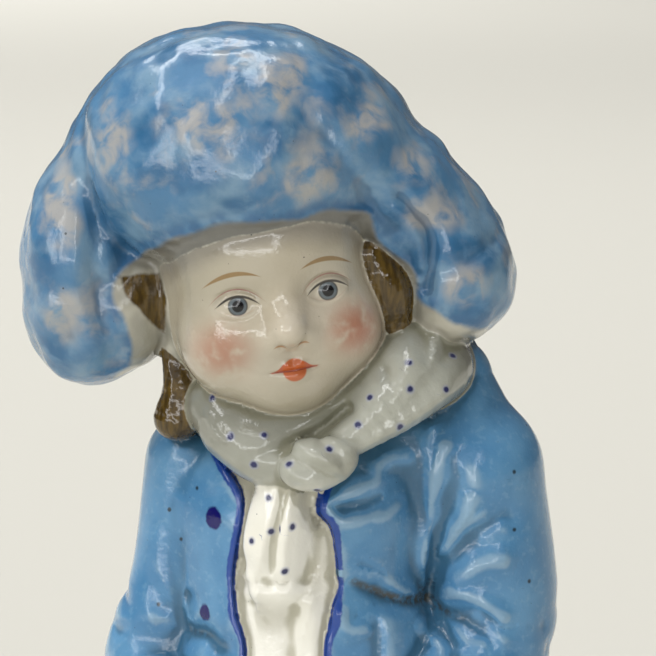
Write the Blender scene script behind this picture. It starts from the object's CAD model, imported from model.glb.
import math

import bmesh
import bpy
import numpy as np
from mathutils import Matrix, Vector


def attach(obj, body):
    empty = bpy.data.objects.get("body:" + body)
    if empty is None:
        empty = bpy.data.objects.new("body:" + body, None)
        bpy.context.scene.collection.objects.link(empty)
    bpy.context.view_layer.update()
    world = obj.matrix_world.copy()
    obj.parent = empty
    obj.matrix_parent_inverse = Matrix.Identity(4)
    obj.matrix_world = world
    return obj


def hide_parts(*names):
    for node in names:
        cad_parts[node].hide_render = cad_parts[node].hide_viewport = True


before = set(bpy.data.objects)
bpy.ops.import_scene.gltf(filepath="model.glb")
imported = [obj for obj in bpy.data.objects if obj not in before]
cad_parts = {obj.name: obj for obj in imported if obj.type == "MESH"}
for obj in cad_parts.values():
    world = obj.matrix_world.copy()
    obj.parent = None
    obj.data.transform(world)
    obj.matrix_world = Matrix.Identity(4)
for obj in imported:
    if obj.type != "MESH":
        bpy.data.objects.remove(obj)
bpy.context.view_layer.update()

# Camera. It stands a forearm's length in front of the figurine's head and a little above it, with a
# long lens, so that the hat, the face and the chest fill the picture.
MM = 0.001  # the sizes of the figurine are given in millimetres
CAMERA_AIM = Vector((4.94, 0, 155.7)) * MM
CAMERA_DISTANCE = 350 * MM
CAMERA_ELEVATION = math.radians(8)
PICTURE_WIDTH = 85.3 * MM  # what the picture spans at the distance of the aim


def put(name, data):
    """A new object in the scene."""
    thing = bpy.data.objects.new(name, data)
    bpy.context.scene.collection.objects.link(thing)
    return thing


lens = bpy.data.cameras.new("camera")
lens.sensor_width = 36
lens.lens = lens.sensor_width * CAMERA_DISTANCE / PICTURE_WIDTH
lens.clip_start = 0.01
lens.clip_end = 100
camera = put("camera", lens)
away = Vector((0, -math.cos(CAMERA_ELEVATION), math.sin(CAMERA_ELEVATION)))
camera.location = CAMERA_AIM + away * CAMERA_DISTANCE
camera.rotation_euler = (math.radians(90) - CAMERA_ELEVATION, 0, 0)
bpy.context.scene.camera = camera


# Base. A low oval plinth, slip-cast in one with the figure, with a rounded upper edge and a slightly
# domed top. Like every form below it is a skin: a function that gives, for each point in a list, how
# many millimetres it is outside the form, below 0 inside.
BASE_WIDTH, BASE_DEPTH, BASE_HEIGHT = 68, 58, 8.5
BASE_EDGE = 2.4
BASE_DOME = 0.8
BASE_FOOT = 0.8  # the bevel that wiping the wet clay leaves round the underside


def base(p):
    """The plinth."""
    out = np.hypot(p[:, 0], p[:, 1] * BASE_WIDTH / BASE_DEPTH) - BASE_WIDTH / 2
    top = BASE_HEIGHT - BASE_DOME * (1 + out / (BASE_WIDTH / 2))
    side, over = out + BASE_EDGE, p[:, 2] - top + BASE_EDGE
    edge = np.hypot(np.maximum(side, 0), np.maximum(over, 0)) + np.minimum(np.maximum(side, over), 0)
    foot = (out + BASE_FOOT - p[:, 2]) * math.sqrt(0.5)
    return np.maximum(np.maximum(edge - BASE_EDGE, -p[:, 2]), foot)


# Trousers and shoes. Cast with the base: loose trouser legs, full at the pockets and wide at the hem,
# over round-toed shoes with the toes turned out.
LEFT_LEG = [(10, 1, 90), (11.4, 0, 55), (11, 1, 22)]
RIGHT_LEG = [(-6, 1, 90), (-8.4, -2, 55), (-8, -1, 22)]
LEG_RADII = (11, 9, 8.4)
FLARE = (9.2, 9.4, 3.4)  # the radii of a leg's wide hem
FORK = 68  # the height where the legs part
SHOES = [((11.5, -2, 11.5), 14), ((-8.5, -4, 11.5), -14)]  # each heel, and the degrees it turns out
TOE_AHEAD = 7


def turned(x, y, z):
    """The turn by degrees about X, Y and Z, as a matrix whose columns are the turned axes."""
    turns = [Matrix.Rotation(math.radians(angle), 3, axis) for angle, axis in zip((x, y, z), "XYZ")]
    return np.array(turns[0] @ turns[1] @ turns[2])


def ball(centre, radii, turn=(0, 0, 0)):
    """A ball with three radii, turned by degrees."""
    axes = turned(*turn)

    def skin(p):
        q = (p - centre) @ axes / radii
        far = np.linalg.norm(q, axis=1)
        return far * (far - 1) / np.maximum(np.linalg.norm(q / radii, axis=1), 1e-6)

    return skin


def beside(p, a, b):
    """How far each point is from the line between two others, and its place along it, 0 to 1."""
    along = b - a
    t = np.clip((p - a) @ along / (along @ along), 0, 1)
    return np.linalg.norm(p - a - t[:, None] * along, axis=1), t


def limb(points, radii):
    """A tapered limb with round ends, through points that each have a radius."""
    points = np.array(points, float)

    def skin(p):
        nearest = np.full(len(p), np.inf)
        for a, b, start, end in zip(points, points[1:], radii, radii[1:]):
            aside, t = beside(p, a, b)
            nearest = np.minimum(nearest, aside - start - t * (end - start))
        return nearest

    return skin


def smooth(points, steps=8, closed=False):
    """Points on a smooth line through the ones given, whatever their number of coordinates."""
    points = np.array(points, float)
    if not closed:
        points = np.vstack([2 * points[0] - points[1], points, 2 * points[-1] - points[-2]])
    count = len(points) if closed else len(points) - 3
    line = []
    for i in range(count):
        a, b, c, d = (points[(i + k) % len(points)] for k in range(4))
        for t in np.arange(steps) / steps:
            line.append(b + t * (c - a) / 2 + t * t * (a - 2.5 * b + 2 * c - d / 2)
                        + t ** 3 * (1.5 * (b - c) + (d - a) / 2))
    return np.array(line if closed else line + [points[-2]])


def bent(points, radii, steps=6):
    """A limb that bends smoothly through its points."""
    line = smooth(np.column_stack((points, radii)), steps)
    return limb(line[:, :3], line[:, 3])


def meld(a, b, width):
    """Two distances joined with a fillet of about the width given."""
    h = np.clip(0.5 + 0.5 * (b - a) / width, 0, 1)
    return b + (a - b) * h - width * h * (1 - h)


def blend(width, *skins):
    """Forms joined with fillets of about the width given."""

    def skin(p):
        whole = skins[0](p)
        for other in skins[1:]:
            whole = meld(whole, other(p), width)
        return whole

    return skin


def within(centre, reach, skin):
    """The same skin, worked out only inside a ball round the form, to save time."""
    MARGIN = 4

    def near(p):
        away = np.linalg.norm(p - centre, axis=1) - reach + MARGIN
        close = away < MARGIN
        if close.any():
            away[close] = skin(p[close])
        return away

    return near


def trace(p, points):
    """How far each point is from a line through several others, and its place along it, 0 to 1."""
    nearest = np.full(len(p), np.inf)
    place = np.zeros(len(p))
    for i, (a, b) in enumerate(zip(points, points[1:])):
        aside, t = beside(p, a, b)
        place = np.where(aside < nearest, (i + t) / (len(points) - 1), place)
        nearest = np.minimum(nearest, aside)
    return nearest, place


FRONT = -2.0  # a line given by only x and z is seen from the front, and marks what is before this y


def pressed(p, lines):
    """How far lines raise each point, or press it in.

    Each line is (points, width, height), with a second height where its end has another. Where lines
    cross, the highest and the deepest count, not their sum.
    """
    REACH = 2.2  # widths past which a line does nothing
    BLUNT = 1.8  # below 2 its cross-section is more pointed than a bell
    RUN_OUT = 3  # mm over which a line seen from the front fades behind FRONT
    highest = np.zeros(len(p))
    lowest = np.zeros(len(p))
    for points, width, *heights in lines:
        start, end = heights[0], heights[-1]
        points = smooth(points, 4)
        q = p[:, [0, 2]] if points.shape[1] == 2 else p
        low, high = points.min(axis=0) - REACH * width, points.max(axis=0) + REACH * width
        near = ((q > low) & (q < high)).all(axis=1)
        if points.shape[1] == 2:
            near &= p[:, 1] < FRONT
        if near.any():
            aside, place = trace(q[near], points)
            height = (start + (end - start) * place) * np.exp(-((aside / width) ** BLUNT))
            if points.shape[1] == 2:
                height = height * np.clip((FRONT - p[near, 1]) / RUN_OUT, 0, 1)
            highest[near] = np.maximum(highest[near], height)
            lowest[near] = np.minimum(lowest[near], height)
    return highest + lowest


def fold(skin, *lines):
    """The skin raised along lines, or pressed in."""
    return lambda p: skin(p) - pressed(p, lines)


def leg(points):
    """A trouser leg; its hem lies in a fold on the shoe."""
    hem = np.array(points[2]) + (0, 0.5, -6)
    return blend(3, bent(points, LEG_RADII), ball(hem, FLARE))


seat = blend(
    6,
    ball((2, 1, 96), (17.6, 13.8, 14)),
    ball((12.6, -6.4, 92.5), (6, 5.4, 8)),
    ball((-8, -6.8, 92.5), (6, 5.4, 8)),
    leg(LEFT_LEG),
    leg(RIGHT_LEG),
)


def crutch(p):
    """The trousers above the fork, where the two legs run together."""
    ROUND = 6
    return -meld(-seat(p), p[:, 2] - FORK, ROUND)


TROUSER_FOLDS = [
    ([(2, 69), (5, 75), (11, 79)], 1.4, -0.9, -0.3),
    ([(1, 69), (-3, 75), (-9, 78)], 1.4, -0.9, -0.3),
    ([(4, 61), (9, 57), (16, 58)], 1.6, -0.3, -0.8),
    ([(-2, 60), (-8, 55), (-15, 56)], 1.6, -0.3, -0.8),
    ([(5, 34), (11, 31), (18, 34)], 1.5, -0.3, -0.7),
    ([(-2, 36), (-8, 32), (-15, 35)], 1.5, -0.3, -0.7),
    ([(4, 47), (10, 44), (18, 48)], 2.0, 0.2, 0.6),
    ([(-2, 46), (-8, 43), (-16, 47)], 2.0, 0.2, 0.6),
    ([(16, 99), (17.2, 92), (16.4, 86)], 0.8, -0.9, -0.6),
    ([(-11.5, 99), (-13.2, 92), (-12.4, 86)], 0.8, -0.9, -0.6),
    ([(2, -13.6, 96), (2, -13.4, 82), (1.6, -9, 71)], 0.7, -0.7),
    ([(2, 15, 104), (2, 14, 86), (1.6, 10, 71)], 1.0, -0.9),
]
trousers = within((2, 0, 58), 62, fold(blend(1.5, leg(LEFT_LEG), leg(RIGHT_LEG), crutch), *TROUSER_FOLDS))


def shoe(heel, turn):
    """One shoe: heel, toe and the edge of its sole."""
    WELT_UP, WELT_HALF, WELT_OUT = 0.7, 0.6, 0.3
    toe = np.array(heel) + (math.sin(math.radians(turn)) * TOE_AHEAD, -TOE_AHEAD, -0.6)
    upper = blend(2, ball(heel, (5, 7.5, 4.6), (0, 0, turn)), ball(toe, (5.4, 5.8, 4), (0, 0, turn)))

    def skin(p):
        welt = np.exp(-(((p[:, 2] - BASE_HEIGHT - WELT_UP) / WELT_HALF) ** 2))
        return upper(p) - WELT_OUT * welt

    return skin


shoes = within((1, -6, 11), 24, blend(0.5, *[shoe(*place) for place in SHOES]))

# Jacket and shirt. A short open jacket over a full shirt, modelled in the clay: the jacket is the
# shirt's own skin let out by the thickness of the cloth, cut away down the front and at the hem.
CLOTH = 1.1  # mm thick
HEM = 97  # the height of the jacket's lower edge
LEFT_ARM = [(23, -0.5, 137), (24.8, -1.5, 115.4), (16, -12, 104)]
RIGHT_ARM = [(-12.4, 3, 137.6), (-14.2, 2.4, 122.5), (-17.8, 1.5, 109.6), (-9.6, -11.5, 103.5)]
LEFT_RADII = (10.2, 9.8, 6.8)
RIGHT_RADII = (6.8, 6.9, 6.9, 6.2)
PINCH = (17.6, 121.3)  # inside the left elbow, where the folds run together
COAT_FOLDS = [  # seen from the front
    ([(7.7, 125.3), (10, 124.1), (12.2, 122.7), (14.8, 121.7), PINCH], 2.0, -0.85, -2),
    ([(6.8, 125.9), (8.5, 125.8), (9.8, 125.3)], 1.1, 0.42, 0.26),
    ([(9.2, 127.1), (11.3, 126.4), (12.6, 125.4)], 0.9, -0.42),
    ([PINCH, (15.9, 125.2), (15.5, 128.6), (15.8, 131.8), (15.3, 135), (14.9, 138), (15.2, 140.9)],
     2.6, -1.9, -0.51),
    ([(17.8, 126.9), (17.9, 130.9), (18.2, 134.7), (18.7, 137.3), (19.2, 139.6), (19.8, 141.7)],
     1.5, 0.42, 0.77),
    ([(18.4, 144), (17.9, 142.1), (18.1, 139.7), (18, 138.2)], 1.1, 0.42),
    ([(18.3, 124.6), (19, 127.7), (19.6, 131), (20.1, 134.3), (20.7, 136.8), (21.2, 139.4)],
     2.0, -1.7, -0.59),
    ([(19.9, 128.2), (21.1, 130.9), (22.3, 132.5), (23, 135.1)], 1.4, 0.59, 0.51),
    ([(22.5, 132.2), (24.5, 133)], 1.1, 0.51, 0.34),
    ([(21.8, 140), (23, 138.8), (23.5, 137)], 1.2, 0.34),
    ([PINCH, (19.3, 126.1), (21.1, 128.2), (23, 129.7), (25.2, 131.1), (27.1, 132.4)], 2.2, -2, -0.68),
    ([(24.9, 130.2), (27.1, 131.3)], 1.1, 0.34),
    ([(21.2, 124.4), (22.8, 125.8), (24.6, 126.8), (27.2, 127.1)], 1.4, 0.42, 0.68),
    ([(20.5, 123), (22.6, 122.5), (24.6, 121.7), (27.3, 119.8)], 1.1, 0.51, 0.68),
    ([PINCH, (19.3, 120.1), (21.6, 119.5), (24.4, 118.9)], 2.2, -2, -0.85),
    ([(24.1, 119.7), (25.7, 118.6), (27.4, 116.9)], 1.1, 0.42),
    ([(21.8, 117.9), (22.8, 117.2), (24.6, 116.7)], 1.1, 0.42),
    ([(19.7, 119.7), (20.4, 118.1), (20.8, 115.4)], 1.9, -1.4, -0.77),
    ([(17, 118.4), (18.3, 117.1), (19.7, 115.7)], 1.1, 0.51),
    ([(13.6, 120.7), (13.1, 119), (13.1, 112)], 2.4, 0.51, 0.94),
    ([(11.3, 121.5), (11.2, 118.6), (11, 112)], 1.1, -0.51),
    ([(6.6, 121.1), (7, 119.9), (7.7, 119.2), (10.5, 118.6)], 1.1, 0.68, 0.42),
    ([(4.9, 135.2), (7.1, 136.1), (9.2, 137), (10.9, 137.8), (11.4, 139.3), (12.6, 140.2), (14.7, 140.4)],
     1.2, 0.77, 0.59),
    ([(4.8, 134.8), (6, 133.5), (7.2, 132.9), (10, 133.2), (12.3, 133.4), (13.6, 134.2)], 1.2, 0.77, 0.59),
    ([(7.1, 134.7), (9.6, 134.9), (11.5, 135.6)], 1.2, -0.59, -0.34),
    ([(-15.1, 137.7), (-15.5, 133.8), (-15.8, 129.9), (-15.7, 126), (-15.3, 122), (-14.6, 117.9),
      (-13.5, 116.4)], 1.4, -0.42, -1.4),
    ([(-14.5, 133.8), (-14.6, 128.6), (-14.4, 123.3), (-13.9, 120)], 1.2, 0.34),
    ([(-19.1, 133.9), (-17.5, 131.8), (-16.1, 129.5)], 1.6, -0.68, -0.85),
    ([(-19.3, 123.5), (-17.6, 121.9), (-15.9, 119.8)], 1.9, -0.68, -1.2),
    ([(-13.3, 121.3), (-13, 119.2), (-12.5, 117.9)], 1.1, -0.59),
    ([(-23.4, 113.2), (-21.3, 114.8), (-17.7, 115.8), (-14.4, 116.3), (-10.9, 117), (-9.1, 115.9)],
     1.8, -0.94, -1.3),
    ([(-17.9, 117.7), (-17.4, 116.4), (-16.2, 116.4)], 1.1, 0.42, 0.34),
    ([(-9.9, 136.5), (-8.2, 136.7), (-6.9, 135.9)], 1.1, 0.3, 0.26),
    ([(-8.7, 132.6), (-7.2, 131.9)], 1.1, 0.3, 0.26),
]
BACK_FOLDS = [  # on the sleeves and the back, in space
    ([(-20, 8, 124), (-21.5, 4, 121), (-22.5, -2, 119)], 1.3, -0.9, -0.5),
    ([(-20, 7, 116), (-22.6, 2, 115.4), (-22.4, -4, 116)], 1.2, -0.8, -0.5),
    ([(31, 7, 121), (33.4, 1, 120), (32, -6, 118)], 1.4, -0.9, -0.6),
    ([(30, 8, 112), (33.6, 2, 113), (32.6, -5, 114.6)], 1.3, -0.9, -0.6),
    ([(14.6, 11, 136), (16.4, 11, 124), (15.6, 11, 112)], 1.7, -0.9, -0.7),
    ([(-9, 12, 134), (-11.6, 10, 122), (-11.4, 10, 110)], 1.7, -0.9, -0.7),
    ([(3, 15, 146), (3.4, 16, 128), (3, 16, 99)], 0.7, -0.7),
    ([(4, 15.4, 112), (11, 14.6, 108), (17, 10, 104)], 1.8, -0.8, -0.4),
    ([(2, 15.4, 110), (-5, 14.6, 106), (-11, 10, 103)], 1.8, -0.8, -0.4),
]
# The jacket's opening, seen from the front: its edges part below the neckerchief, draw nearer at the
# waist and part again at the hem.
OPENING_RIGHT = [(-17, 150), (-11.3, 143), (-9.3, 140), (-6.8, 137), (-5.9, 134.4), (-6.4, 130.6),
                 (-7.2, 125.4), (-6.8, 120.4), (-5.6, 115.8), (-6.2, 106), (-9, 90)]
OPENING_LEFT = [(9, 150), (4.2, 135.6), (5.4, 132.3), (6.1, 126), (5.6, 120.7), (4.6, 116), (6, 106),
                (10, 90)]
opening = np.vstack([smooth(OPENING_RIGHT, 4), smooth(OPENING_LEFT, 4)[::-1]])


def inside(p, outline):
    """How far each point is inside an outline seen from the front, below 0 outside it."""
    REACH = 4  # mm outside the outline's box past which the answer is only -REACH
    q = p[:, [0, 2]]
    far_in = np.full(len(q), -float(REACH))
    near = ((q > outline.min(axis=0) - REACH) & (q < outline.max(axis=0) + REACH)).all(axis=1)
    near &= p[:, 1] < FRONT
    q = q[near]
    nearest = np.full(len(q), np.inf)
    crossings = np.zeros(len(q), int)
    for a, b in zip(outline, np.roll(outline, -1, axis=0)):
        nearest = np.minimum(nearest, beside(q, a, b)[0])
        spans = (a[1] > q[:, 1]) != (b[1] > q[:, 1])
        rise = b[1] - a[1] if b[1] != a[1] else 1
        crossings += spans & (q[:, 0] < a[0] + (q[:, 1] - a[1]) * (b[0] - a[0]) / rise)
    far_in[near] = np.where(crossings % 2 == 1, nearest, -nearest)
    return far_in


chest = blend(
    5,
    ball((4, 1, 129), (18, 13.6, 18.5)),
    ball((3, 0.5, 112), (17.5, 14.4, 20)),
    limb([(-9, 3.5, 135), (16, 1, 141)], (5.6, 7.6)),
    limb([(20.6, 1.5, 148.6), (21.8, 0.5, 141)], (4.9, 7.6)),
)
SHIRT_FOLDS = [
    ([(-6, 124), (-3.4, 125.2), (0.1, 125.4), (5.6, 126)], 1.2, -0.3),
    ([(-5.6, 123.6), (-3, 123.9), (0, 124), (2.7, 124.4)], 1.2, 0.3),
    ([(0.8, 121.6), (0.2, 118), (0.6, 110)], 1.2, -0.3, -0.6),
    ([(3, 122.6), (3.3, 118), (3, 110)], 1.6, 0.4, 0.6),
    ([(-4.6, 121), (-4.2, 115)], 1.0, 0.3, 0.4),
]
# The neckerchief's ends hang over the shirt, and were smoothed into it.
ENDS = ball((-0.8, -12.7, 131.6), (4.6, 1.9, 8.4), (0, 12, 0))
END_FOLDS = [
    ([(-1.4, 137), (-3, 131), (-4.4, 126)], 0.9, 0.35, 0.3),
    ([(-0.6, 137), (-1.7, 131), (-2.4, 126.6)], 0.8, -0.45, -0.3),
    ([(0.3, 136.6), (-0.6, 130), (-0.8, 126)], 0.8, 0.4, 0.3),
    ([(2.8, 137.2), (3, 131), (2.2, 125.6)], 1.7, -1.6, -1.0),
    ([(-5.4, 127.4), (-4, 126), (-2.8, 125)], 1.4, -0.5),
]
full_shirt = fold(blend(2.6, chest, ENDS), *SHIRT_FOLDS, *END_FOLDS)


def shirt(p):
    """The shirt, which shows in the jacket's opening and runs a little way under its edges."""
    UNDER, SWELL, RISE = 1.5, 0.8, 3
    deep = inside(p, opening)
    return np.maximum(full_shirt(p) - SWELL * np.clip(deep / RISE, 0, 1), -UNDER - deep)


def jacket(p):
    """The jacket's body: the shirt let out, with rounded edges at the opening and the hem."""
    EDGE = 0.7
    cut = np.minimum(inside(p, opening), FRONT - p[:, 1])
    body = -meld(CLOTH - chest(p), -cut, EDGE)
    return -meld(-body, p[:, 2] - HEM, EDGE)


def sleeve(points, radii):
    """A sleeve with a turned-back cuff."""
    CUFF, CUFF_WIDTH = 0.8, 1.5
    wrist, elbow = np.array(points[-1]), np.array(points[-2])
    back = (elbow - wrist) / np.linalg.norm(elbow - wrist)
    cuff = limb([wrist, wrist + CUFF_WIDTH * back], (radii[-1] + CUFF,) * 2)
    return blend(0.6, bent(points, radii), cuff)


sleeves = [sleeve(LEFT_ARM, LEFT_RADII), sleeve(RIGHT_ARM, RIGHT_RADII)]
coat = within((4, 0, 122), 46, fold(blend(0.9, jacket, *sleeves), *COAT_FOLDS, *BACK_FOLDS))

# Hands. Each goes into its trouser pocket, so only the back of the hand and the wrist are modelled.
hands = within((3, -10, 99), 22, blend(
    0.5,
    limb([LEFT_ARM[-1], (13.4, -9.4, 94)], (4.4, 4.2)),
    limb([RIGHT_ARM[-1], (-7.8, -9.6, 94)], (4.4, 4.2)),
))

# Neckerchief. A rolled cloth round the neck, drawn into a pleated knot with two ends that hang over
# the shirt; modelled by hand in the clay, then dotted with the tip of a brush.
ROLL = [(3.6, -13, 141.2), (8, -13.8, 144.2), (13, -12, 147.6), (17.2, -8.6, 150.4), (19.6, -2.6, 151.2),
        (17.5, 7, 152), (5, 12.5, 151), (-8, 9.5, 149), (-11.2, 0.5, 147.4), (-8.2, -9, 144.9),
        (-3.4, -13, 141.8)]
ROLL_RADII = (2.4, 2.7, 3.7, 4.3, 4.2, 3.8, 3.8, 3.6, 3.4, 3.3, 3)
ring = smooth(np.column_stack((ROLL, ROLL_RADII)), 4, closed=True)
ring = np.vstack([ring, ring[:1]])
# The turns of cloth between the roll and the throat.
INNER_TURN = ([(-9.6, -7, 147.4), (-5, -10.2, 145), (1, -11.2, 144.2), (8, -9, 147.2)],
              (2.8, 3, 3, 2.8))
LOWER_TURN = ([(-7.8, -9.4, 143), (-3.8, -12, 140), (0.8, -13.2, 139)], (2.7, 2.4, 2.2))
UPPER_TURN = ([(8.5, -9.6, 146.4), (11.6, -9.4, 149.6), (14.8, -7.4, 152.8), (18, -5, 154.6)],
              (3, 3.4, 3.6, 3.4))
neck = blend(
    2,
    limb([(2, 2, 138), (1, 2, 154)], (12, 9)),
    limb([(13, 0, 150), (13, 0, 158)], (7, 5)),
    bent(*INNER_TURN),
    bent(*LOWER_TURN),
    bent(*UPPER_TURN),
)
ROLL_FOLDS = [
    ([(9.6, 144.6), (13, 147.2), (17, 150.4), (20.6, 154.4)], 1.5, -0.3, -0.8),
    ([(8, 142.4), (13.6, 145.2), (20, 149)], 1.0, 0.3, 0.5),
    ([(17.2, 156), (17.6, 152.6), (17, 150.4)], 1.3, -0.6, -0.4),
    ([(12.4, 152), (13, 149.4), (12.6, 147.6)], 1.2, -0.4, -0.3),
    ([(7.5, 147.2), (3.5, 144.4), (-1, 142.6), (-4, 141.8)], 0.9, -1.0, -0.3),
    ([(-10.2, 146), (-9.4, 144.4), (-8.2, 143.4)], 0.5, 0.4, 0.3),
    ([(-5.6, 145), (-3, 144.4)], 0.4, 0.3),
    ([(-9.8, 142.6), (-7.4, 140.8), (-4.4, 138.8)], 0.7, 0.35),
]
KNOT_FOLDS = [
    ([(-0.4, 142.4), (2.4, 141), (5.8, 139.6)], 0.9, -0.45, -0.5),
    ([(1.2, 143.6), (4.2, 142.2), (6.2, 140.4)], 0.8, 0.4, 0.3),
    ([(4, 143.8), (6.4, 142.2), (7, 140.2)], 0.7, -0.45, -0.3),
    ([(-0.4, 140.8), (1.6, 139.2), (4, 138.2)], 0.7, 0.3),
]
roll = fold(blend(2.2, neck, limb(ring[:, :3], ring[:, 3])), *ROLL_FOLDS)
knot = fold(ball((3.8, -16.2, 140.9), (5.1, 3, 3.4), (0, -16, 0)), *KNOT_FOLDS)
neckerchief = within((4, -1, 145), 32, blend(0.8, roll, knot))

# Head. A calm child's face of the usual proportions, pressed in its own mould and luted to the neck:
# eyes halfway down, nose and mouth by fifths below them, full cheeks and a small chin.
HEAD = 34  # chin to crown
CHIN = 146.2
HEAD_CENTRE = np.array((-2.8, -2.6, CHIN + HEAD / 2))
HEAD_TILT, HEAD_TURN = 9, 8  # degrees towards the right shoulder, and towards the left
head_axes = turned(0, -HEAD_TILT, HEAD_TURN)
EYE_ACROSS, EYE_UP = 5.7, -HEAD * 0.05
EYE_WIDTH, EYE_OPEN = 5.4, 2.3
NOSE_UP, LIPS_UP = -HEAD * 0.22, -HEAD * 0.32


def on_head(p):
    """Points in the head's own frame: across to its left, back, and up from the skull's middle."""
    return (p - HEAD_CENTRE) @ head_axes


def arc(q, middle, half, level, arch, lean=0):
    """An arched line on one side of the face: how far above it a point is, and its place along it."""
    along = (np.abs(q[:, 0]) - middle) / half
    line = level + arch * (1 - along ** 2) + lean * along
    grade = (lean - 2 * arch * along) / half
    return (q[:, 2] - line) / np.sqrt(1 + grade ** 2), along


FACE_FRONT = -4  # the eyelids are before this y of the head's own frame


def weal(q, raised, width, *line):
    """How much an arched line on the face's front stands out."""
    above, along = arc(q, *line)
    bell = raised * np.exp(-((above / width) ** 2))
    return bell * np.clip(1.15 - along ** 4, 0, 1) * (q[:, 1] < FACE_FRONT)


UPPER_LID = (EYE_ACROSS, EYE_WIDTH / 2, EYE_UP - 0.2, EYE_OPEN / 2 + 0.1, 0.1)
LOWER_LID = (EYE_ACROSS, EYE_WIDTH / 2, EYE_UP - 0.2, -EYE_OPEN / 2, 0.1)
LID_CREASE = (EYE_ACROSS, EYE_WIDTH / 2 + 0.3, EYE_UP + 0.5, EYE_OPEN / 2 + 0.3, 0.1)
skull = blend(
    4,
    ball((0, 1, 1), (13.8, 15.6, 16)),
    ball((0, -1.6, -6), (12, 12.4, 10.6)),
    ball((6, -6.9, NOSE_UP), (6.2, 6, 6.2)),
    ball((-6, -6.9, NOSE_UP), (6.2, 6, 6.2)),
    ball((0, -9, -HEAD * 0.385), (4.8, 4, 4)),
    ball((0, -6, 4.6), (10.6, 9.6, 7.4)),
)
nose = blend(
    0.9,
    bent([(0, -12.4, 1.5), (0, -13.5, -2.4), (0, -15, NOSE_UP + 1.9)], (1.6, 1.7, 2.2)),
    ball((1.9, -13.4, NOSE_UP + 0.9), (1.5, 1.8, 1.4)),
    ball((-1.9, -13.4, NOSE_UP + 0.9), (1.5, 1.8, 1.4)),
)
lips = blend(
    0.5,
    bent([(-2.7, -12, LIPS_UP + 0.2), (-1.1, -13.2, LIPS_UP + 0.65), (0, -13.3, LIPS_UP + 0.45),
          (1.1, -13.2, LIPS_UP + 0.65), (2.7, -12, LIPS_UP + 0.2)], (0.3, 0.7, 0.65, 0.7, 0.3)),
    ball((0, -12.7, LIPS_UP - 0.8), (1.9, 1.4, 0.85)),
)


def face(p):
    """The whole head, with eyes, nose, mouth and chin."""
    q = on_head(p)
    side = q.copy()
    side[:, 0] = np.abs(q[:, 0])
    socket = ball((EYE_ACROSS, -17.2, EYE_UP), (4.2, 3.6, 2.6))(side)
    eye = ball((EYE_ACROSS, -10.5, EYE_UP - 0.2), (3.3, 3.4, 2.6))(side)
    head = -meld(-skull(q), socket, 1.8)
    head = meld(head, nose(q), 1.8)
    head = meld(head, eye, 0.5)
    head = meld(head, lips(q), 0.7)
    head = head - weal(q, 0.28, 0.32, *UPPER_LID[:2], UPPER_LID[2] + 0.25, *UPPER_LID[3:])
    head = head - weal(q, 0.14, 0.3, *LOWER_LID[:2], LOWER_LID[2] - 0.3, *LOWER_LID[3:])
    head = head - weal(q, -0.16, 0.25, *LID_CREASE)
    parting = np.exp(-(((q[:, 2] - LIPS_UP) / 0.28) ** 2)) * np.exp(-((q[:, 0] / 3.2) ** 4))
    groove = np.exp(-((q[:, 0] / 0.8) ** 2)) * np.exp(-(((q[:, 2] - (NOSE_UP + LIPS_UP) / 2) / 1.2) ** 4))
    nostril = np.linalg.norm((side - (1.25, -14.2, NOSE_UP + 0.05)) / (0.7, 1.2, 0.45), axis=1)
    return head + 0.22 * parting + 0.15 * groove * (q[:, 1] < -6) + 0.35 * np.exp(-nostril ** 2)


head = within(HEAD_CENTRE, 24, face)

# Hair. Two locks show beside the face, and the rest fills the hat behind it; the strands are
# scratched into the clay.
LOCKS = [
    ([(-18.9, -5.2, 163), (-17.7, -5.6, 160), (-17, -5.4, 156.8)], (2.1, 1.9, 0.9)),
    ([(-15.4, -3.8, 153.6), (-14.2, -4.4, 148.4), (-14.6, -4.2, 144.6)], (1.1, 2.2, 3)),
    ([(10.4, -8.6, 166.4), (12.6, -7.6, 161.8), (13.2, -6.8, 158)], (1.9, 2.9, 2.1)),
]
STRAND = 0.9  # mm from one scratched strand to the next
SCRATCH = 0.015


def lock(points, radii):
    """A lock of hair, in slightly wavy strands."""
    tress = bent(points, radii)

    def skin(p):
        across = p @ (0.8, 0.6, 0.18) + 0.5 * np.sin(p[:, 2] / 2.6)
        return tress(p) - SCRATCH * np.sin(across * 2 * math.pi / STRAND)

    return skin


locks = within((-2, -6, 155), 24, blend(0.5, *[lock(*place) for place in LOCKS]))
cap = ball((-3, 2, 161), (17.4, 14, 15))

# Hat. A sou'wester with a puffed crown. Its brim turns under at the front, droops in a deep lobe at
# each side and hangs lower over the nape; the clay was dabbed, so its surface is lumpy.


def ripple(p, wavelength, seed):
    """Smooth irregular bumps of about the wavelength given, from -1 to 1 or so."""
    draw = np.random.RandomState(seed)
    WAVES = 14
    ways = draw.normal(size=(WAVES, 3))
    ways *= 2 * math.pi / wavelength / np.linalg.norm(ways, axis=1)[:, None]
    ways *= draw.uniform(0.7, 1.4, size=(WAVES, 1))
    phases = draw.uniform(0, 2 * math.pi, WAVES)
    return np.sin(p @ ways.T + phases).sum(axis=1) / math.sqrt(WAVES)


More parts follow.
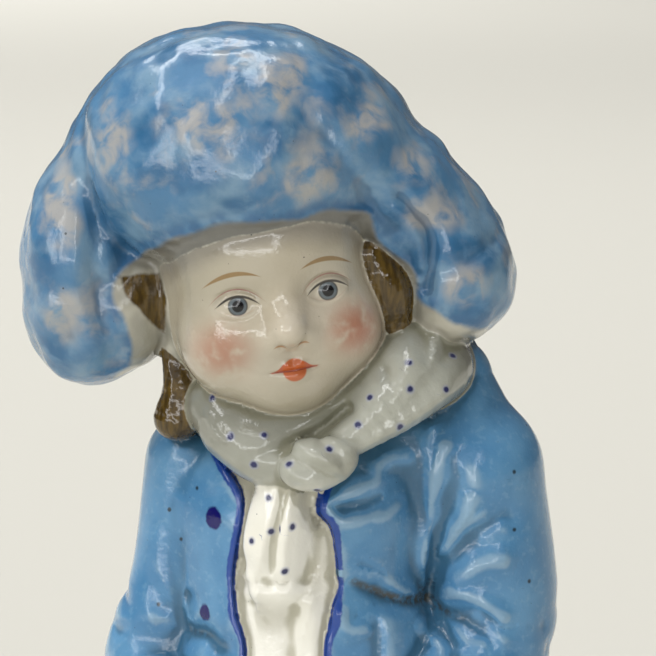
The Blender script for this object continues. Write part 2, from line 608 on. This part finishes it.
crown = blend(
    5,
    ball((-6.6, 1, 178.1), (21.4, 22, 16.1)),
    ball((-6.6, 1, 186.6), (15.3, 15.4, 7)),
    ball((7, 2, 179.6), (8.6, 16, 8.5)),
    ball((14.4, 2, 172.6), (8.4, 14.5, 8.4)),
    ball((20.2, 1.5, 166), (7.6, 12.5, 8.2)),
    ball((22.8, 0.5, 161.9), (6, 10, 5.7)),
    ball((20.4, 0.5, 158.6), (5.2, 9, 4.4)),
    ball((-3, 16, 166), (21, 7, 13)),
)
lobe = blend(
    3,
    ball((-27.5, 1, 164.6), (7.4, 12, 13.6)),
    ball((-26.1, 1, 156.4), (7.6, 11, 8)),
    ball((-20, -0.5, 159.6), (5.3, 8.4, 8.4)),
    ball((-25.3, 2, 174.5), (4.4, 10, 8.4)),
)
# The brim's painted edge: blue above it, bare below it where the brim turns under.
BRIM = [(-22.4, 160.4), (-21.8, 163.4), (-18.6, 166.2), (-17.3, 167.2), (-15.4, 168.5), (-12.9, 169.6),
        (-11, 170.6), (-9, 171.3), (-5.8, 171.6), (-2.2, 171.5), (1.5, 171.7), (5.2, 172.5), (8.2, 172.2),
        (10.3, 171.7), (11, 168.6), (12.4, 167.2), (14.5, 165.5), (15.9, 163)]
HAT_FOLDS = [
    (BRIM[1:], 0.7, 0.3),
    ([(-27.6, 187), (-25.2, 178), (-24.4, 171), (-24.9, 164.4), (-23.6, 157)], 1.3, -0.6, -0.5),
    ([(-25.8, 187), (-23.2, 178), (-22.2, 171), (-22.6, 164.4)], 1.3, 0.35),
    ([(2, 184), (5.8, 180), (9.6, 174), (13, 170)], 1.5, -0.5, -0.7),
    ([(5, 186), (9, 181), (13, 175)], 2.2, 0.3, 0.4),
    ([(14, 174), (17.6, 170), (18.2, 166), (17.6, 162)], 0.8, -0.6, -0.7),
    ([(13, 172.4), (16.2, 168.6), (16.6, 165)], 0.8, 0.4),
    ([(27, 168.4), (22.4, 165.6), (19.6, 164.6)], 1.3, -0.5, -0.4),
    ([(-30, 172), (-29, 164), (-27.6, 156)], 1.6, -0.3, -0.4),
]


def soft_hat(p):
    """The hat's clay, lumpy from dabbing."""
    out = meld(crown(p), lobe(p), 1.6)
    for height, wavelength, seed in ((0.17, 9, 4), (0.1, 5, 9), (0.02, 2.4, 6)):
        out = out - height * ripple(p, wavelength, seed)
    return out


hat = within((-4, 2, 170), 44, fold(soft_hat, *HAT_FOLDS))

# The cast. The forms are joined as the wet clay was, with a small fillet where each meets the next.
# The mesh starts from the CAD solid, is evened out, made finer where the modelling is finest, and is
# then pressed onto the modelled skins.
FORMS = {  # each form, and the fillet in millimetres where it meets the ones before it
    "base": (base, 0),
    "shoes": (shoes, 0.8),
    "trousers": (trousers, 0.8),
    "hands": (hands, 0.8),
    "shirt": (within((0, -8, 120), 34, shirt), 0.8),
    "coat": (coat, 0.5),
    "neckerchief": (neckerchief, 0.9),
    "hair": (locks, 1.2),
    "head": (head, 0.6),
    "cap": (cap, 1.5),
    "hat": (hat, 0.9),
}
PLUG_GAP = 0.4  # mm under the cloth's inner turns, whose clay is added as balls
ROUGH_GRAIN = 1.3  # mm, the size of a face at first
GRAIN = 0.92
PLAIN_TOP = 94  # below this height the cast is plain, and some of its faces are dropped
PLAIN_SHARE = 0.4
FINE_FLOOR, FINE_FRONT = 112, 1  # above this height and before this y the faces are halved
FACE_MIDDLE = HEAD_CENTRE + head_axes @ (0, -12, -5)
FACE_REACH = 11.5  # mm round the middle of the face where they are halved again


def figure(p):
    """The whole cast."""
    whole = base(p)
    for skin, fillet in list(FORMS.values())[1:]:
        whole = meld(whole, skin(p), fillet)
    return whole


def slope(p, skin, step=0.05):
    """The skin's distance at each point, and how it grows along X, Y and Z."""
    out = skin(p)
    ways = [skin(p + step * axis) - out for axis in np.eye(3)]
    return out, np.stack(ways, axis=1) / step


def modified(mesh, kind, chosen=None, **settings):
    """The mesh with one modifier applied, to chosen vertices or to all."""
    holder = put("holder", mesh)
    if chosen is not None:
        group = holder.vertex_groups.new(name="chosen")
        group.add(chosen.tolist(), 1, "REPLACE")
        settings["vertex_group"] = group.name
    modifier = holder.modifiers.new(kind, kind)
    for name, value in settings.items():
        setattr(modifier, name, value)
    evaluated = holder.evaluated_get(bpy.context.evaluated_depsgraph_get())
    result = bpy.data.meshes.new_from_object(evaluated)
    bpy.data.objects.remove(holder)
    return result


def read(items, name, width, kind=np.float32):
    """What each vertex or edge of a mesh has by that name, one row each."""
    values = np.empty(len(items) * width, kind)
    items.foreach_get(name, values)
    return values.reshape(-1, width)


def halve(form, chosen):
    """Cuts the faces whose corners are all chosen into four."""
    picked = set(np.flatnonzero(chosen).tolist())
    edges = [edge for edge in form.edges if all(vert.index in picked for vert in edge.verts)]
    bmesh.ops.subdivide_edges(form, edges=edges, cuts=1, use_grid_fill=True)
    form.verts.index_update()


def places_in(form):
    return np.array([vert.co for vert in form.verts])


def as_mesh(form, name):
    """Turns a bmesh into a mesh and lets it go."""
    mesh = bpy.data.meshes.new(name)
    form.to_mesh(mesh)
    form.free()
    return mesh


def settled(places, ends, times):
    """The places after each has moved halfway to the middle of its neighbours, so many times over."""
    one, other = ends.T
    count = len(places)
    neighbours = (np.bincount(one, minlength=count) + np.bincount(other, minlength=count))[:, None]
    for turn in range(times):
        sums = [np.bincount(one, places[other, k], count) + np.bincount(other, places[one, k], count)
                for k in range(3)]
        places = (places + np.stack(sums, axis=1) / neighbours) / 2
    return places


def press(mesh, presses, settles, furthest=0.8):
    """Presses a mesh onto the figure; after the first few presses its faces are evened out.

    Returns the vertices' places and the skin's slope there.
    """
    ends = read(mesh.edges, "vertices", 2, np.int32)
    places = read(mesh.vertices, "co", 3).astype(float)
    for turn in range(presses):
        out, way = slope(places, figure)
        steep = np.linalg.norm(way, axis=1)
        push = np.clip(-out / np.maximum(steep, 0.4), -furthest, furthest)
        upright = way / np.maximum(steep, 1e-6)[:, None]
        places = places + push[:, None] * upright
        if turn < settles:
            drift = settled(places, ends, 1) - places
            places = places + drift - (drift * upright).sum(axis=1)[:, None] * upright
    places[:, 2] = np.maximum(places[:, 2], 0)
    mesh.vertices.foreach_set("co", places.astype(np.float32).ravel())
    mesh.update()
    return places, slope(places, figure)[1]


form = bmesh.new()
form.from_mesh(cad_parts["figurine"].data)
bmesh.ops.remove_doubles(form, verts=form.verts, dist=1e-6)
bmesh.ops.scale(form, verts=form.verts, vec=(1 / MM,) * 3)
for turn in (INNER_TURN, LOWER_TURN):
    for *middle, radius in smooth(np.column_stack(turn), 4):
        place = Matrix.Translation(middle)
        bmesh.ops.create_icosphere(form, subdivisions=2, radius=radius - PLUG_GAP, matrix=place)
rough = modified(as_mesh(form, "rough"), "REMESH", mode="VOXEL", voxel_size=ROUGH_GRAIN)
press(rough, 5, 4)
even = modified(rough, "REMESH", mode="VOXEL", voxel_size=GRAIN)

form = bmesh.new()
form.from_mesh(even)
spots = places_in(form)
halve(form, (spots[:, 2] > FINE_FLOOR) & (spots[:, 1] < FINE_FRONT))
halve(form, np.linalg.norm(places_in(form) - FACE_MIDDLE, axis=1) < FACE_REACH)
bmesh.ops.triangulate(form, faces=form.faces)
fine = as_mesh(form, "fine")

spots = read(fine.vertices, "co", 3).astype(float)
plain = np.flatnonzero((spots[:, 2] < PLAIN_TOP) & (spots[:, 2] > 2))
dropped = 2 * len(plain) * (1 - PLAIN_SHARE) / len(fine.polygons)
cast = modified(fine, "DECIMATE", chosen=plain, ratio=1 - dropped)
cast.name = "figurine_cast"
spots, way = press(cast, 5, 3)
count = len(spots)
normals = way / np.maximum(np.linalg.norm(way, axis=1), 1e-6)[:, None]

cast.vertices.foreach_set("co", (spots * MM).astype(np.float32).ravel())
cast.polygons.foreach_set("use_smooth", [True] * len(cast.polygons))
cast.update()
plain_normals = read(cast.vertices, "normal", 3)
AGREEMENT = 0.6  # cosine below which the mesh's own normal is used, as in a sharp crease
agree = (plain_normals * normals).sum(axis=1) > AGREEMENT
cast.normals_split_custom_set_from_vertices(np.where(agree[:, None], normals, plain_normals).tolist())
figurine = put("porcelain_figurine", cast)
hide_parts("figurine")
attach(figurine, "root")

# Painting. The glazed piece was painted by hand with enamels and fired again. Each value below says,
# for each vertex, how many millimetres it is inside a painted area or off the middle of a stroke.
FAR = 9.0  # mm, for what is nowhere near
outs = {name: skin(spots) for name, (skin, fillet) in FORMS.items()}
AREAS = {name: [name] for name in ("base", "shoes", "trousers", "coat", "neckerchief", "hair")}
AREAS.update(head=["head", "hands"], hat=["hat", "cap"])


def keep(name, values):
    """Keeps a value, or a row of three, for each vertex."""
    vector = np.ndim(values) > 1
    layer = cast.attributes.new(name, "FLOAT_VECTOR" if vector else "FLOAT", "POINT")
    layer.data.foreach_set("vector" if vector else "value", np.asarray(values, np.float32).ravel())


for area, forms in AREAS.items():
    own = np.min([outs[name] for name in forms], axis=0)
    rest = np.min([outs[name] for name in FORMS if name not in forms], axis=0)
    keep(area + "_area", np.clip(rest - own, -FAR, FAR))

ROOM = 1.1  # mm out of the surface where the air is sounded, to find where glaze and dirt gather
keep("room", figure(spots + ROOM * normals) / ROOM)
ends = read(cast.edges, "vertices", 2, np.int32)
for name, times in (("hollow", 16), ("wide_hollow", 90)):  # how far out the smoothed surface would lie
    keep(name, ((settled(spots, ends, times) - spots) * normals).sum(axis=1))
SHELTER = 10  # mm towards the light where the air is sounded, to find what the brim hangs over
TO_LIGHT = np.array((0, -0.35, 0.94))
keep("shelter", figure(spots + SHELTER * TO_LIGHT) / SHELTER)

front = spots[:, 1] < FRONT
x, z = spots[:, 0], spots[:, 2]
TRIM_WIDTH, TRIM_TOP, TRIM_GAP = 0.85, 142.6, 126.2
trim = inside(spots, opening) + TRIM_WIDTH + 0.15 * ripple(spots, 7, 21)
trim = np.minimum(trim, (TRIM_TOP - z) * 0.8)
off_gap = np.abs(z - TRIM_GAP)  # the brush was lifted here, on the left edge
trim = np.where((x > 2) & (off_gap < 2), np.minimum(trim, off_gap - 0.45), trim)
keep("trim", trim)

BUTTONS = [((-9.7, 132.4), (1.05, 1.45)), ((-10.9, 119.9), (0.7, 1.15))]
button = np.full(count, -FAR)
for (across, up), (wide, tall) in BUTTONS:
    far = np.hypot((x - across) / wide, (z - up) / tall)
    button = np.where(front, np.maximum(button, (1 - far) * wide), button)
keep("button", button)

DIRTY = [
    ([(8.2, 125.1), (10.4, 123.8), (14.2, 122), PINCH], 0.8, 0.6, 1),
    ([PINCH, (15.9, 125.2)], 0.8, 0.9, 0.2),
    ([PINCH, (18.4, 124.6)], 0.7, 0.9, 0.3),
    ([PINCH, (19.8, 120), (24.4, 118.9)], 0.9, 1, 0.3),
    ([(-14.8, 121), (-14.2, 118), (-12.4, 116.6)], 0.8, 0.3, 0.5),
    ([(-22, 114.6), (-16, 116), (-10, 117)], 0.8, 0.3, 0.5),
]
keep("dirt", pressed(spots, DIRTY))

DOTS = [(-9.8, 148.3), (-7.2, 144), (-3, 144.2), (-4.3, 140.7), (0.1, 141.3), (5.1, 143.2), (3.5, 137.9),
        (8.6, 146), (13.9, 145.5), (10.2, 149.1), (15, 153.2), (15.2, 149.8), (20.7, 153.4), (19.9, 149.8),
        (-2.3, 136.4), (-2.1, 132.1), (0.4, 132.7), (-4.7, 130.4), (-0.4, 126.9)]
ASH = [(28.7, 138.5), (28.9, 130.9), (30.7, 124.1), (-15.7, 132.2), (-14.1, 128.5), (-11.9, 135.7),
       (-17.1, 119.9)]
DOT_REACH = 1.6


def on_front(marks):
    """The vertex for each mark that is seen from the front."""
    return [spots[np.argmin(np.hypot(x - a, z - b) + 0.1 * spots[:, 1])] for a, b in marks]


dot_places = on_front(DOTS)
cloth_spots = spots[outs["neckerchief"] < 0.3]
for i, place in enumerate(ring[:-1:3, :3]):
    if place[1] > -4:
        outward = place - (3, 1, 146 - 6 * (-1) ** i)
        far = cloth_spots @ outward / np.linalg.norm(outward)
        far = far - 1.5 * np.linalg.norm(cloth_spots - place, axis=1)
        dot_places.append(cloth_spots[np.argmax(far)])
for name, middles in (("dots", dot_places), ("ash", on_front(ASH))):
    from_middle = np.full((count, 3), FAR)
    for place in middles:
        off = spots - place
        near = np.linalg.norm(off, axis=1) < DOT_REACH
        from_middle[near] = off[near]
    keep(name, from_middle)

# The hair at the right temple, and the dabs on the hat: each dab's middle and radii.
TEMPLE = np.array([(-21.9, 163.8), (-16.6, 163.6), (-15.5, 160.5), (-15.9, 155.8), (-18.4, 158.6),
                   (-20.5, 161.3)])
keep("temple", inside(spots, TEMPLE) + 0.15 * ripple(spots, 4, 41))
PALE_DABS = [
    (-0.3, 188.1, 2.9, 3.3), (-9.1, 183.1, 5.5, 3.2), (2.8, 177.9, 2.8, 4.0),
    (-28.6, 172.9, 2.4, 5.1), (-27.6, 158.8, 3.5, 3.4), (18.0, 171.3, 2.9, 2.3),
    (17.6, 182.7, 1.4, 1.5), (9.9, 183.1, 2.3, 2.3), (22.0, 162.7, 2.7, 2.6),
    (-21.6, 180.6, 2.0, 4.1), (-6.2, 191.5, 1.8, 1.6), (15.2, 177.7, 2.2, 2.2),
]
DEEP_DABS = [
    (-16.9, 182.9, 3.0, 3.4), (-1.1, 182.5, 3.0, 2.5), (-14.4, 177.4, 4.4, 2.5),
    (-30.9, 165.3, 2.4, 3.7), (11.1, 171.2, 6.0, 2.1), (14.6, 166.9, 2.6, 2.6),
    (6.4, 187.6, 2.6, 4.5), (-29.6, 153.1, 3.3, 2.8), (22.8, 166.7, 4.7, 2.0),
    (-22.1, 169.9, 1.7, 4.8), (24.0, 158.6, 3.3, 1.9), (-14.1, 191.8, 3.6, 1.4),
    (-6.1, 173.8, 3.2, 1.1),
]
for name, dabs, seed in (("pale", PALE_DABS, 51), ("deep", DEEP_DABS, 61)):
    value = np.full(count, -2.0)
    for across, up, wide, tall in dabs:
        far = np.hypot((x - across) / wide, (z - up) / tall)
        value = np.where(front, np.maximum(value, 1 - far), value)
    keep(name, value + 0.22 * ripple(spots, 6, seed) + 0.12 * ripple(spots, 2.6, seed + 1))

# Under the brim the hat is bare, and the features are drawn on the face.
q = on_head(spots)
mirrored = np.abs(q[:, 0])
UNDER_BRIM = [(16.4, 160.4), (19.1, 159), (21, 157.7), (22.9, 156.7), (26, 155), (26, 140), (-24, 140),
              (-22.4, 149.6), (-20.9, 151.4), (-19.9, 154), (-20.2, 156), (-20.8, 158.1)]
bare = smooth(BRIM + UNDER_BRIM, 3, closed=True)
keep("bare", inside(spots, bare) + 0.2 * ripple(spots, 6, 31))
keep("under_hat", outs["hat"])
keep("iris", np.hypot(mirrored - EYE_ACROSS, q[:, 2] - EYE_UP + 0.15))
BLUSH = (8.4, -7.2)
keep("blush", np.hypot((mirrored - BLUSH[0]) / 4.6, (q[:, 2] - BLUSH[1]) / 4.2))
bow = LIPS_UP + 0.2 + 0.85 * np.exp(-(((mirrored - 1.1) / 0.8) ** 2)) - 0.05 * mirrored
keep("upper_lip", np.minimum(bow - q[:, 2], np.minimum(q[:, 2] - LIPS_UP + 0.12, (2.9 - mirrored) * 0.5)))
keep("lower_lip", 1 - np.hypot(q[:, 0] / 1.5, (q[:, 2] - LIPS_UP) / 1.45))

STROKES = {  # each: the line, its half width, how sharply its ends taper, its colour and strength
    "lash": (UPPER_LID, 0.17, 4, "#2e2825", 0.95),
    "lid_line": (LID_CREASE, 0.09, 2, "#94605a", 0.8),
    "lower_line": (LOWER_LID, 0.05, 2, "#b59a86", 0.5),
    "brow": ((EYE_ACROSS + 0.3, 3.4, EYE_UP + 2.9, 1.0, -0.35), 0.3, 2, "#8c6c38", 0.85),
    "mouth_line": ((0, 3.1, LIPS_UP - 0.1, 0.0, 0.12), 0.11, 4, "#7c2c1c", 0.85),
    "nostril_line": ((1.45, 0.8, NOSE_UP - 0.35, 0.35, 0.1), 0.13, 2, "#a5733f", 0.75),
}
for name, (line, half, sharpness, *_) in STROKES.items():
    above, along = arc(q, *line)
    breadth = half * (1 - np.clip(np.abs(along), 0, 3) ** sharpness)
    ahead = np.where(q[:, 1] < -6, breadth, -FAR)
    keep(name, np.stack([np.clip(above, -FAR, FAR), ahead, along], axis=1))


def linear(colour):
    """An sRGB hex colour, as the linear values that a shader takes."""
    values = [int(colour[i:i + 2], 16) / 255 for i in (1, 3, 5)]
    return [v / 12.92 if v <= 0.04045 else ((v + 0.055) / 1.055) ** 2.4 for v in values] + [1]


# Glazed hard porcelain, dipped in clear glaze and fired, then painted with enamels and fired again.
# Bare glaze gives small hard highlights; the enamel blues are a little duller, and both wave slightly.
glaze = bpy.data.materials.new("glazed hard porcelain")
glaze.use_nodes = True
tree = glaze.node_tree
shader = tree.nodes["Principled BSDF"]


def add(kind, settings, output=0):
    """Adds a node, with each input set, or linked to another node's output; gives one of its outputs.

    A kind may be followed by the node's operation.
    """
    kind, _, operation = kind.partition(" ")
    node = tree.nodes.new("ShaderNode" + kind)
    if operation:
        node.operation = operation
    for name, value in settings.items():
        if isinstance(name, str) and name not in node.inputs:
            setattr(node, name, value)
        elif isinstance(value, bpy.types.NodeSocket):
            tree.links.new(value, node.inputs[name])
        else:
            node.inputs[name].default_value = linear(value) if isinstance(value, str) else value
    return node.outputs[output]


where = add("TexCoord", {}, "Object")
millimetres = add("VectorMath SCALE", {0: where, "Scale": 1 / MM})


def cloud(size, offset, detail=2.0, distortion=0.0):
    """Soft blots of about the size given, in millimetres; the offset moves them on."""
    moved = add("VectorMath ADD", {0: millimetres, 1: (offset, 2 * offset, -offset)})
    settings = {"Vector": moved, "Scale": 1 / size, "Detail": detail, "Distortion": distortion}
    return add("TexNoise", settings)


def kept(name, output="Fac"):
    """A kept value, or with the output "Vector" a row of three."""
    return add("Attribute", {"attribute_name": name}, output)


def over_level(value, low, high, most=1.0):
    """How much a value is over a level, from 0 at low to most at high."""
    reach = {"interpolation_type": "SMOOTHSTEP", "From Min": low, "From Max": high, "To Max": most}
    return add("MapRange", {**reach, "Value": value})


def washed(colour, *washes):
    """A colour with others washed over it: each has an amount from 0 to 1, and may have a share of it."""
    for over, amount, *share in washes:
        if share:
            amount = add("Math MULTIPLY", {0: amount, 1: share[0]})
        colour = add("Mix", {"data_type": "RGBA", 0: amount, 6: colour, 7: over}, 2)
    return colour


TREMBLE = 0.36  # mm that the brush strays
tremble = add("Math MULTIPLY_ADD", {0: cloud(0.9, 5), 1: TREMBLE, 2: -TREMBLE / 2})


def paint(under, over, depth, soft=0.1, strength=1.0, steady=False):
    """Lays a colour over another by the depth inside a painted area, with the brush's soft edge."""
    if not steady:
        depth = add("Math ADD", {0: depth, 1: tremble})
    return washed(under, (over, over_level(depth, -soft, soft, strength)))


hollow = over_level(kept("hollow"), 0.0, 0.16)
pool = over_level(kept("wide_hollow"), 0.0, 0.55)
raised = over_level(kept("hollow"), -0.06, -0.22)
sheltered = over_level(kept("shelter"), 0.75, -0.15)
crevice = over_level(kept("room"), 0.93, 0.6)
deep_crevice = over_level(kept("room"), 0.75, 0.3)
level = add("SeparateXYZ", {0: millimetres}, 2)

# The white body under a clear glaze, warmer where the glaze is thick.
white = washed(
    "#f3f1e6",
    ("#e8e5d6", over_level(cloud(14, 3), 0.4, 0.7)),
    ("#a5a189", hollow, 0.65),
    ("#8f8a72", crevice, 0.35),
)

# Skin: ivory, with rosy cheeks stippled on, and features drawn with a fine brush.
flesh = washed(
    "#dcd2c1",
    ("#cfc3ae", over_level(cloud(9, 8), 0.4, 0.7)),
    ("#b5664c", over_level(kept("blush"), 1.25, 0.1, 0.95), over_level(cloud(2.2, 14), 0.15, 0.55)),
    ("#a88f78", crevice, 0.3),
    ("#a39c87", sheltered, 0.8),
    ("#86827a", over_level(kept("under_hat"), 3, 0, 0.75)),
)
under_lash = add("SeparateXYZ", {0: kept("lash", "Vector")})
under_lash = add("Math MULTIPLY", {0: under_lash, 1: -1.0})
for radius, colour, strength in ((1.25, "#3c4145", 0.9), (1.05, "#626b70", 1), (0.74, "#0d0d10", 1)):
    depth = add("Math SUBTRACT", {0: radius, 1: kept("iris")})
    depth = add("Math MINIMUM", {0: depth, 1: under_lash})
    flesh = paint(flesh, colour, depth, 0.09, strength, steady=True)
flesh = paint(flesh, "#b5512a", kept("upper_lip"), 0.12, 0.92, steady=True)
flesh = paint(flesh, "#bd5a22", kept("lower_lip"), 0.09, 0.9, steady=True)
for name, (line, half, sharpness, colour, strength) in STROKES.items():
    above = add("SeparateXYZ", {0: kept(name, "Vector")})
    aside = add("Math ABSOLUTE", {0: above})
    depth = add("Math SUBTRACT", {0: above.node.outputs[1], 1: aside})
    flesh = paint(flesh, colour, depth, 0.08, strength, steady=True)

# Hair: ochre brown, in strands.
strands = add("VectorMath MULTIPLY", {0: millimetres, 1: (1.6, 1.6, 0.22)})
strand = add("TexNoise", {"Vector": strands, "Scale": 1.0, "Detail": 3.0})
hair = washed(
    "#3f2f0b",
    ("#5f4a1a", over_level(strand, 0.35, 0.68)),
    ("#33270f", over_level(cloud(5, 20), 0.55, 0.8, 0.6)),
)

# Neckerchief: white, with the tip of a brush dotted on in blue.
cloth = washed(
    "#b7b8ac",
    ("#a09f90", over_level(cloud(6, 25), 0.45, 0.75, 0.6)),
    (white, over_level(level, 140, 136, 0.8)),
    ("#75756a", sheltered, 0.75),
    ("#8a8976", pool, 0.65),
    ("#77755f", hollow, 0.4),
)
dot = add("VectorMath LENGTH", {0: kept("dots", "Vector")}, "Value")
for radius, colour, strength in ((0.62, "#8f97c0", 0.35), (0.4, "#1c2156", 0.95)):
    depth = add("Math SUBTRACT", {0: radius, 1: dot})
    cloth = paint(cloth, colour, depth, 0.16, strength)
    white = paint(white, colour, depth, 0.16, strength)

# Jacket: light blue, darker where the colour has run into the creases, and worn pale on the ridges.
blue = washed(
    "#4d83ae",
    ("#6194bb", over_level(cloud(7, 30), 0.35, 0.7)),
    ("#42769f", over_level(cloud(3, 36, 3), 0.55, 0.8, 0.5)),
    ("#7ba5c2", over_level(cloud(0.9, 33, 3), 0.52, 0.72, 0.35)),
    ("#33617f", pool, 0.6),
    ("#2d536c", hollow, 0.5),
    ("#1f2d33", deep_crevice, 0.4),
    ("#9ab6c8", raised, 0.55),
    ("#3a3524", over_level(kept("dirt"), 0.15, 0.8), over_level(cloud(0.8, 40, 3), 0.3, 0.62, 0.85)),
)
blue = paint(blue, "#0a3790", kept("trim"), 0.16, 0.92)
blue = paint(blue, "#03035c", kept("button"), 0.14, 1)

# Hat: blue dabbed on with a sponge in several strengths, with pinkish-grey body showing between.
hat_blue = washed(
    "#4c7ca3",
    ("#7596af", over_level(cloud(6, 50, 4, 0.3), 0.4, 0.66)),
    ("#3a6b94", over_level(cloud(5, 57, 4, 0.3), 0.5, 0.7, 0.6)),
    ("#a6a5a3", over_level(cloud(5, 64, 4, 0.3), 0.54, 0.72, 0.6)),
    ("#2f638c", over_level(kept("deep"), -0.45, 0.6), over_level(cloud(3, 71, 4, 0.5), 0.25, 0.6, 0.9)),
    ("#a9a7a3", over_level(kept("pale"), -0.5, 0.5), over_level(cloud(3, 77, 4, 0.5), 0.32, 0.6, 0.9)),
    ("#234d70", hollow, 0.5),
    ("#37638c", over_level(kept("bare"), -2.2, -0.4), over_level(cloud(3, 90), 0.35, 0.6, 0.8)),
)
hat_white = washed(
    "#bcb8a9",
    ("#9a988b", over_level(cloud(5, 70), 0.35, 0.7)),
    ("#73726c", over_level(level, 162, 168)),
    ("#504e44", crevice, 0.4),
)
hat_blue = paint(hat_blue, hat_white, kept("bare"), 0.45, 1)

colour = white
for area, over in zip(AREAS, ("#e4e1d4", "#5b4326", white, blue, cloth, hair, flesh, hat_blue)):
    colour = paint(colour, over, kept(area + "_area"), 0.2)
colour = paint(colour, hair, kept("temple"), 0.25)

# Ash specks and pinholes, as a kiln leaves them: how far apart the pinholes are and how wide, in mm,
# how many of their places have one, and how dark it is.
ASH_RADIUS = 0.27
ash = add("VectorMath LENGTH", {0: kept("ash", "Vector")}, "Value")
ash = add("Math SUBTRACT", {0: ASH_RADIUS, 1: ash})
colour = paint(colour, "#1a2227", ash, 0.14, 0.9)
PINHOLES = [(5, 0.17, 0.45, 0.75), (1.9, 0.075, 0.5, 0.5), (17, 0.34, 0.3, 0.9)]
for apart, radius, share, strength in PINHOLES:
    distance = add("TexVoronoi", {"Vector": millimetres, "Scale": 1 / apart}, "Distance")
    near = add("Math LESS_THAN", {0: distance, 1: radius / apart})
    some = add("SeparateXYZ", {0: distance.node.outputs["Color"]})
    some = add("Math LESS_THAN", {0: some, 1: share})
    colour = washed(colour, ("#23282c", add("Math MULTIPLY", {0: near, 1: some}), strength))

GLAZE_ROUGHNESS, ENAMEL_ROUGHNESS = 0.08, 0.17
enamel = add("Math MAXIMUM", {0: kept("hat_area"), 1: kept("coat_area")})
roughness = {"From Min": -0.3, "From Max": 0.3, "To Min": GLAZE_ROUGHNESS, "To Max": ENAMEL_ROUGHNESS}
roughness = add("MapRange", {**roughness, "Value": enamel})
WAVE = 0.04 * MM  # how high the glaze's waves are, 1.6 and 0.5 mm long
waves = add("Math MULTIPLY_ADD", {0: cloud(1.6, 80), 1: 1.0, 2: cloud(0.5, 85)})
waves = add("Bump", {"Height": waves, "Strength": 1.0, "Distance": WAVE})
for name, output in (("Base Color", colour), ("Roughness", roughness), ("Coat Roughness", roughness),
                     ("Normal", waves)):
    tree.links.new(output, shader.inputs[name])
shader.inputs["IOR"].default_value = 1.5
shader.inputs["Coat Weight"].default_value = 0.3
cast.materials.append(glaze)

# Floor. A plain pale table top, covered in one sheet of paper that runs on far behind the figurine,
# so that it fills the picture.
FLOOR_SIZE = 60  # metres
form = bmesh.new()
bmesh.ops.create_grid(form, x_segments=1, y_segments=1, size=FLOOR_SIZE / 2)
table_top = as_mesh(form, "table_top")
floor = put("floor", table_top)
# Matt paper: it scatters the light evenly, so it shows no highlight, only a soft shade.
paper = bpy.data.materials.new("pale matt paper")
paper.use_nodes = True
sheet = paper.node_tree.nodes["Principled BSDF"]
sheet.inputs["Base Color"].default_value = linear("#c8c6bd")
sheet.inputs["Roughness"].default_value = 0.9
table_top.materials.append(paper)

# Light. A pale photographic tent: even daylight from above, and two dim lamp panels with bright
# borders, which the glaze reflects, one in front to the left and one overhead. A wide lamp that the
# glaze doesn't reflect lights the tent's far end.
world = bpy.data.worlds.new("tent")
bpy.context.scene.world = world
world.use_nodes = True
world.node_tree.nodes["Background"].inputs["Color"].default_value = linear("#fffaf2")
world.node_tree.nodes["Background"].inputs["Strength"].default_value = 0.12
daylight = bpy.data.lights.new("daylight", "SUN")
daylight.energy = 1.1
daylight.angle = math.radians(35)
overhead = put("daylight", daylight)
overhead.rotation_euler = (math.radians(14), math.radians(-26), 0)
overhead.visible_glossy = False


def area_lamp(name, place, turn, width, height, brightness):
    """A lamp with an even rectangular face."""
    light = bpy.data.lights.new(name, "AREA")
    light.shape = "RECTANGLE"
    light.size, light.size_y = width, height
    light.energy = brightness * math.pi * width * height
    lamp = put(name, light)
    lamp.location = place
    lamp.rotation_euler = turn.to_euler()
    return lamp


PANEL_AWAY, STRIP = 3.0, 0.42  # metres
BEHIND = 0.1  # metres from a panel's bright strips to its dim face
DIM = 8  # how many times dimmer the face is


def lamp_panel(name, way, width, height, brightness, borders):
    """A dim panel that faces the figurine, with bright strips along some of its borders."""
    way = Vector(way).normalized()
    turn = (-way).to_track_quat("-Z", "Y")
    area_lamp(name, CAMERA_AIM + way * (PANEL_AWAY + BEHIND), turn, width, height, brightness / DIM)
    for across, up in borders:
        place = CAMERA_AIM + way * PANEL_AWAY + turn @ Vector((across * width / 2, up * height / 2, 0))
        area_lamp(name, place, turn, width if up else STRIP, height if across else STRIP, brightness)


lamp_panel("front panel", (-0.3, -0.88, 0.36), 3.6, 2.1, 5, ((0, -1), (1, 0), (-1, 0)))
lamp_panel("top panel", (-0.28, 0.1, 0.95), 3.3, 2.2, 5.5, ((0, 1), (0, -1), (-1, 0)))
FAR_LAMP_PLACE, FAR_LAMP_SIZE, FAR_LAMP_BRIGHTNESS = (-6, 15, 5), (16, 24), 1.75
down = Vector((0, 0, -1)).to_track_quat("-Z", "Y")
far_lamp = area_lamp("far lamp", FAR_LAMP_PLACE, down, *FAR_LAMP_SIZE, FAR_LAMP_BRIGHTNESS)
far_lamp.visible_glossy = False
bpy.context.scene.view_settings.view_transform = "Standard"
